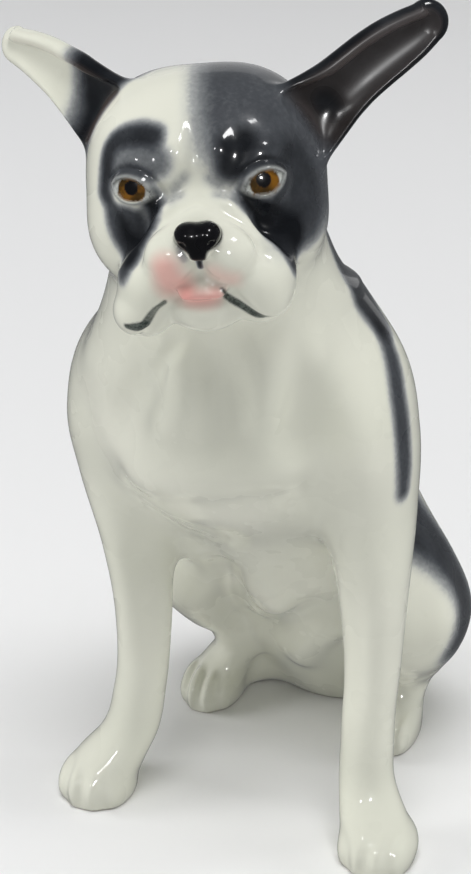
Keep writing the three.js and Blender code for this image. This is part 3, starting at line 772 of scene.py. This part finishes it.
def rise(p):
    """How far every stroke together raises the surface."""
    q = to_head(p)
    total = relief(p, BODY_STROKES)
    chosen = np.flatnonzero((q[:, 1] < 2) & (q[:, 2] > -30))
    at_face = q[chosen]
    e = (mirrored(at_face) - EYE) @ eye_axes()
    off_eye = np.maximum(smoothstep(0.1, 1.5, eye_opening(e)), smoothstep(-3, -5, e[:, 2]))
    total[chosen] += relief(at_face, FACE_STROKES) * off_eye + lids(at_face)
    return total


def figurine(p):
    """The dog with its creases, folds and lids."""
    return dog(p) - rise(p)


def face(q):
    return figurine(q @ HEAD_TURN.T + HEAD_CENTRE)


PAINT_STROKES = {paint: prepared(strokes, face) for paint, strokes in FACE_PAINT.items()}
PATCHES = prepared(BODY_PAINT, figurine)


def eye_paint(q):
    """The whites, irises and pupils, and the thin grey line round each eye."""
    e = (mirrored(q) - EYE) @ eye_axes()
    opening = eye_opening(e)
    in_front = (q[:, 1] < -12) & (np.abs(e[:, 2]) < 4)
    eyes = smoothstep(0.12, -0.12, opening) * in_front
    return {
        "sclera": eyes,
        "iris": eyes * smoothstep(3.2, 2.9, np.hypot(e[:, 0] + 0.1, e[:, 1] + 0.1)),
        "pupil": eyes * smoothstep(1.65, 1.4, np.hypot(e[:, 0] + 0.15, e[:, 1] - 0.5)),
        "rim": np.exp(-(((opening - 0.45) / 0.38) ** 2)) * in_front,
    }


def nose_paint(q):
    """The nose and the drip of black under it."""
    d = ellipsoid(q, (-1.4, -31, -1.7), (3.3, 5, 3.0))
    d = blend(d, ellipsoid(q, (2.2, -31, -1.7), (3.3, 5, 3.0)), 2)
    d = blend(d, cone(q, (0.4, -32, -3.4), (0.3, -32.3, -9.2), 2.7, 0.3), 1)
    return smoothstep(0.3, -0.3, d)


def grey_half(q):
    """The airbrushed left half of the skull, down to the cheek."""
    half = smoothstep(-4, 5.5, q[:, 0] + 0.12 * (q[:, 2] - 14)) * smoothstep(4, 15, q[:, 2])
    half = np.maximum(half, smoothstep(10, 19, q[:, 0]) * smoothstep(-13, -1, q[:, 2]))
    return half * smoothstep(-15, -6, q[:, 2])


def ear_paint(p):
    """The ears' dark paint, with painted shade kept in the pit at the left ear's root, and how far into their
    fleshy insides each point is.
    """
    left, right = ear_left.local(p), ear_right.local(p)
    on_left = (np.abs(left[:, 2]) < 9) * smoothstep(-2, 3, left[:, 0])
    on_left = on_left * smoothstep(14, 10, np.abs(left[:, 1]))
    on_right = (np.abs(right[:, 1]) < 13) * (np.abs(right[:, 2]) < 9)
    cup = smoothstep(0.6, -0.9, ear_left.cup(left, 1.1))
    root = smoothstep(11, 5, left[:, 0])
    # painted shade: the lighter inside of the left ear's cup is left out towards the root, so the pit there
    # stays as dark as the rim
    dark_left = on_left * (0.95 - 0.3 * cup * (1 - root))
    patch = smoothstep(14.5, 6.5, right[:, 0] + 0.5 * right[:, 1]) * smoothstep(-4, 0, right[:, 0])
    dark_right = 0.97 * on_right * patch
    inner = np.maximum(0.85 * on_left * cup, on_right * smoothstep(0.5, -1.0, ear_right.cup(right, 1.8)))
    return dark_left, dark_right, inner


def masks(p):
    """Each paint's cover at each point, from 0 to 1."""
    q = to_head(p)
    cover = {paint: threaded(lambda points: painted(points, strokes), q)
             for paint, strokes in PAINT_STROKES.items()}
    cover.update(eye_paint(q))
    cover["nose"] = nose_paint(q)
    dark_left, dark_right, cover["inner"] = ear_paint(p)
    bare = (1 - cover["dark"]) * (1 - 0.76 * grey_half(q)) * (1 - painted(p, PATCHES))
    cover["dark"] = 1 - bare * (1 - dark_left) * (1 - dark_right)
    cover["bisque"] = smoothstep(0.5, 0.1, p[:, 2])
    return cover


# ---- Castings --------------------------------------------------------------------------------

SLOTS = {"head": "porcelain_head", "ear_left": "porcelain_ear_dark", "ear_right": "porcelain_ear_light"}
FINE = {"head": 2, "ear_left": 2, "ear_right": 2}  # rounds of subdivision, otherwise one


def make_object(name, vertices, quads, triangles, normals, cover):
    """The casting as an object, with its paint stored on its points."""
    mesh = bpy.data.meshes.new(name)
    mesh.vertices.add(len(vertices))
    mesh.vertices.foreach_set("co", ((vertices + TO_ROW) * MM).astype(np.float32).ravel())
    corners = np.concatenate([quads.ravel(), triangles.ravel()])
    mesh.loops.add(len(corners))
    mesh.loops.foreach_set("vertex_index", corners.astype(np.int32))
    mesh.polygons.add(len(quads) + len(triangles))
    starts = np.concatenate([np.arange(len(quads)) * 4, quads.size + np.arange(len(triangles)) * 3])
    mesh.polygons.foreach_set("loop_start", starts.astype(np.int32))
    mesh.update(calc_edges=True)
    mesh.validate()
    mesh.polygons.foreach_set("use_smooth", np.ones(len(mesh.polygons), bool))
    mesh.normals_split_custom_set_from_vertices(normals.astype(np.float32))
    for paint, values in cover.items():
        layer = mesh.attributes.new("paint_" + paint, "FLOAT", "POINT")
        layer.data.foreach_set("value", values.astype(np.float32))
    made = bpy.data.objects.new(name + "_glazed", mesh)
    bpy.context.scene.collection.objects.link(made)
    return made


def make_castings():
    """Each casting's object by name, cut from one mesh of the whole figurine."""
    vertices, quads = surface_nets(figurine, LOWEST, HIGHEST, GRID)
    vertices = settle(figurine, vertices)
    label = seam_labels(vertices, quads)
    made = {}
    for k, name in enumerate(CASTINGS):
        v, f = compact(vertices, quads[label == k])
        for _ in range(FINE.get(name, 1)):
            v, f = subdivide(v, f)
        v = settle(figurine, v)
        n = gradient(figurine, v)
        n /= np.linalg.norm(n, axis=1, keepdims=True)
        cover = masks(v)
        v, f, t, n = closed(v, f, n)
        for paint, values in cover.items():
            cover[paint] = np.concatenate([values, np.zeros(len(v) - len(values))])
        made[name] = make_object(name, v, f, t, n, cover)
    return made


# ---- Materials -------------------------------------------------------------------------------

BODY = [(0.3, (0.74, 0.74, 0.645)), (0.7, (0.70, 0.705, 0.605))]
AIRBRUSH = [(0.0, (0.62, 0.63, 0.58)), (0.25, (0.40, 0.41, 0.40)), (0.5, (0.19, 0.2, 0.205)),
            (0.75, (0.065, 0.07, 0.078)), (1.0, (0.005, 0.006, 0.008))]
AMBER = [(0.35, (0.05, 0.026, 0.004)), (0.65, (0.20, 0.085, 0.008))]
BRISTLES = [(0.35, (0.02, 0.028, 0.025)), (0.7, (0.10, 0.12, 0.105))]
FLESH, PINK, RIM, SCLERA = (0.30, 0.21, 0.17), (0.78, 0.30, 0.27), (0.30, 0.31, 0.30), (0.5, 0.52, 0.49)
PUPIL, NOSE, BISQUE = (0.004, 0.004, 0.005), (0.003, 0.003, 0.004), (0.55, 0.5, 0.42)
BODY_GLOSS = [(0.3, (0.22, 0.22, 0.22)), (0.7, (0.34, 0.34, 0.34))]


class Tree:
    """A material's nodes, with a short spelling for each kind that the glaze uses."""

    def __init__(self, name):
        self.material = bpy.data.materials.new(name)
        self.material.use_nodes = True
        self.nodes, self.links = self.material.node_tree.nodes, self.material.node_tree.links
        self.shader = self.nodes["Principled BSDF"].inputs

    def plug(self, socket, value):
        """A number or colour set on the socket, or an output linked to it."""
        if isinstance(value, (int, float)):
            socket.default_value = value
        elif isinstance(value, tuple):
            socket.default_value = (*value, 1)
        else:
            self.links.new(value, socket)

    def ramp(self, share, stops, interpolation="EASE"):
        node = self.nodes.new("ShaderNodeValToRGB")
        node.color_ramp.interpolation = interpolation
        while len(node.color_ramp.elements) < len(stops):
            node.color_ramp.elements.new(0.5)
        for element, (place, colour) in zip(node.color_ramp.elements, stops):
            element.position = place
            element.color = (*colour, 1)
        self.plug(node.inputs[0], share)
        return node.outputs[0]

    def paint(self, name):
        node = self.nodes.new("ShaderNodeAttribute")
        node.attribute_name = "paint_" + name
        return node.outputs["Fac"]

    def noise(self, scale, detail=2.0, rough=0.5):
        where = self.nodes.new("ShaderNodeTexCoord")
        node = self.nodes.new("ShaderNodeTexNoise")
        for name, value in (("Scale", scale), ("Detail", detail), ("Roughness", rough)):
            node.inputs[name].default_value = value
        self.plug(node.inputs["Vector"], where.outputs["Object"])
        return node.outputs["Fac"]

    def math(self, operation, *values, clamp=False):
        node = self.nodes.new("ShaderNodeMath")
        node.operation = operation
        node.use_clamp = clamp
        for socket, value in zip(node.inputs, values):
            self.plug(socket, value)
        return node.outputs[0]

    def mixed(self, share, under, over):
        node = self.nodes.new("ShaderNodeMix")
        node.data_type = "RGBA"
        for name, value in (("Factor", share), ("A", under), ("B", over)):
            self.plug(node.inputs[name], value)
        return node.outputs["Result"]


def airbrushed(tree):
    """The white body under the dark paint and painted shade, which are thin at their edges and a little
    speckled.
    """
    thin = tree.math("SUBTRACT", 1.08, tree.math("MULTIPLY", tree.noise(130), 0.16))
    density = tree.math("MULTIPLY", tree.paint("dark"), thin)
    edge = tree.math("MULTIPLY", density, tree.math("SUBTRACT", 1.0, density))
    speckle = tree.math("SUBTRACT", tree.noise(900, 3, 0.6), 0.5)
    density = tree.math("ADD", density, tree.math("MULTIPLY", edge, speckle), clamp=True)
    cover = tree.ramp(density, [(0.0, (0, 0, 0)), (0.3, (1, 1, 1))], "LINEAR")
    return tree.mixed(cover, tree.ramp(tree.noise(28), BODY), tree.ramp(density, AIRBRUSH, "LINEAR"))


def glaze(name):
    """Clear glaze over a warm white body, airbrushed and brushed with ceramic paints."""
    tree = Tree(name)
    colour = airbrushed(tree)
    colour = tree.mixed(tree.math("MULTIPLY", tree.paint("inner"), 0.17), colour, FLESH)
    layers = [
        ("pink", PINK), ("rim", RIM), ("sclera", SCLERA),
        ("iris", tree.ramp(tree.noise(400), AMBER)), ("pupil", PUPIL), ("nose", NOSE),
        ("brush", tree.ramp(tree.noise(1500), BRISTLES)), ("bisque", BISQUE),
    ]
    for paint, pigment in layers:
        colour = tree.mixed(tree.paint(paint), colour, pigment)
    bump = tree.nodes.new("ShaderNodeBump")
    bump.inputs["Strength"].default_value = 0.05
    bump.inputs["Distance"].default_value = 0.0004
    tree.plug(bump.inputs["Height"], tree.noise(70, 1))
    satin = tree.math("MULTIPLY", tree.paint("inner"), 0.7)
    settings = {
        "Base Color": colour,
        "Roughness": tree.ramp(tree.noise(60, 3), BODY_GLOSS),
        "IOR": 1.5,
        "Specular IOR Level": 0.12,
        "Coat Weight": tree.math("SUBTRACT", 1.0, tree.paint("bisque")),
        "Coat Roughness": tree.math("ADD", satin, 0.05),
        "Coat IOR": 1.35,
        "Normal": bump.outputs[0],
        "Coat Normal": bump.outputs[0],
    }
    for socket, value in settings.items():
        tree.plug(tree.shader[socket], value)
    return tree.material


# ---- Stage, lights and camera ----------------------------------------------------------------

TARGET = (np.array([-8.3, -7, 95]) + TO_ROW) * MM
VIEW_AZIMUTH, VIEW_ELEVATION = 22.0, 25.0
DISTANCE = 0.4507
LENS, SENSOR = 77.97, 36  # millimetres, the sensor's along the picture's long side
FLOOR_HALF = 6.0  # metres


def make_floor():
    mesh = bpy.data.meshes.new("floor")
    half = FLOOR_HALF
    corners = [(-half, -half, 0), (half, -half, 0), (half, half, 0), (-half, half, 0)]
    mesh.from_pydata(corners, [], [(0, 1, 2, 3)])
    floor = bpy.data.objects.new("floor", mesh)
    bpy.context.scene.collection.objects.link(floor)
    material = bpy.data.materials.new("pale_floor")
    material.use_nodes = True
    shader = material.node_tree.nodes["Principled BSDF"]
    shader.inputs["Base Color"].default_value = (0.84, 0.84, 0.84, 1)
    shader.inputs["Roughness"].default_value = 0.9
    mesh.materials.append(material)
    floor.visible_glossy = False  # the glaze mirrors a dark studio


def aimed(name, data, azimuth, elevation, distance):
    """An object that looks at the figurine from that far away."""
    a, e = math.radians(azimuth), math.radians(elevation)
    back = Vector((math.sin(a) * math.cos(e), -math.cos(a) * math.cos(e), math.sin(e)))
    made = bpy.data.objects.new(name, data)
    made.location = Vector(TARGET) + back * distance
    made.rotation_mode = "QUATERNION"
    made.rotation_quaternion = (-back).to_track_quat("-Z", "Y")
    bpy.context.scene.collection.objects.link(made)
    return made


def make_light(name, azimuth, elevation, distance, size, power, softbox):
    """Softboxes shape the body, and lamps only glint in the glaze."""
    data = bpy.data.lights.new(name, "AREA")
    data.shape = "RECTANGLE"
    data.size, data.size_y = size
    data.energy = power
    light = aimed(name, data, azimuth, elevation, distance)
    light.visible_diffuse, light.visible_glossy = softbox, not softbox


def make_camera():
    data = bpy.data.cameras.new("camera")
    data.lens = LENS
    data.sensor_width = SENSOR
    data.clip_start, data.clip_end = 0.01, 50
    bpy.context.scene.camera = aimed("camera", data, VIEW_AZIMUTH, VIEW_ELEVATION, DISTANCE)


def make_world():
    world = bpy.data.worlds.new("studio")
    bpy.context.scene.world = world
    world.use_nodes = True
    background = world.node_tree.nodes["Background"]
    background.inputs["Color"].default_value = (0.93, 0.96, 1.0, 1)
    background.inputs["Strength"].default_value = 0.12
    bpy.context.scene.view_settings.view_transform = "Standard"


materials = {slot: glaze(slot) for slot in ("porcelain_body", *SLOTS.values())}
for node, piece in make_castings().items():
    slot = SLOTS.get(node, "porcelain_body")
    piece.data.materials.append(materials[slot])
    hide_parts(node)
    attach(piece, "root")

make_floor()
make_world()
make_light("left_box", azimuth=-72, elevation=22, distance=2.4, size=(1.2, 1.5), power=29, softbox=True)
make_light("right_box", azimuth=116, elevation=22, distance=2.4, size=(1.2, 1.5), power=24, softbox=True)
make_light("top_box", azimuth=20, elevation=75, distance=2.2, size=(1.2, 1.2), power=33, softbox=True)
make_light("front_fill", azimuth=22, elevation=5, distance=2.4, size=(1.5, 1.0), power=9, softbox=True)
make_light("front_lamp", azimuth=34, elevation=24, distance=2.6, size=(0.34, 0.3), power=25, softbox=False)
make_light("side_lamp", azimuth=-4, elevation=27, distance=2.6, size=(0.25, 0.25), power=8, softbox=False)
make_light("high_lamp", azimuth=80, elevation=64, distance=2.4, size=(0.42, 0.42), power=18, softbox=False)
make_light("backdrop", azimuth=202, elevation=14, distance=2.6, size=(4, 1.8), power=8, softbox=False)
make_camera()
